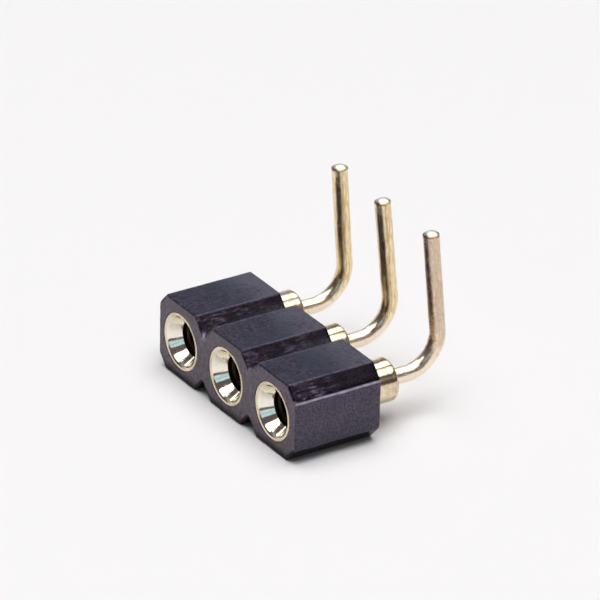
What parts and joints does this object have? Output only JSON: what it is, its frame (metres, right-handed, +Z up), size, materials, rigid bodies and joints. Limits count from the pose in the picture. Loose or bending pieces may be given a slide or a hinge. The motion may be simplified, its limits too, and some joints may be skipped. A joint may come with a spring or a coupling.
{
  "type": "right-angle female pin header",
  "caption": "Right-angle female header strip: moulded body with snap notches, turned round-pin sleeves with spring clips, and tails bent upwards.",
  "frame": {"origin": "centre of the housing's underside, under the middle contact", "axes": "+X along the row from contact 1 to contact 3, +Y from the mating face to the tails, +Z up, the way the tails point"},
  "size_m": [0.0075, 0.0061, 0.0058],
  "materials": {
    "housing": "satin",
    "sleeve": "polished",
    "clip": "satin"
  },
  "bodies": {
    "root": {"housing": "housing", "contact_1": "sleeve", "contact_2": "sleeve", "contact_3": "sleeve", "clip_1": "clip", "clip_2": "clip", "clip_3": "clip"}
  },
  "joints": []
}
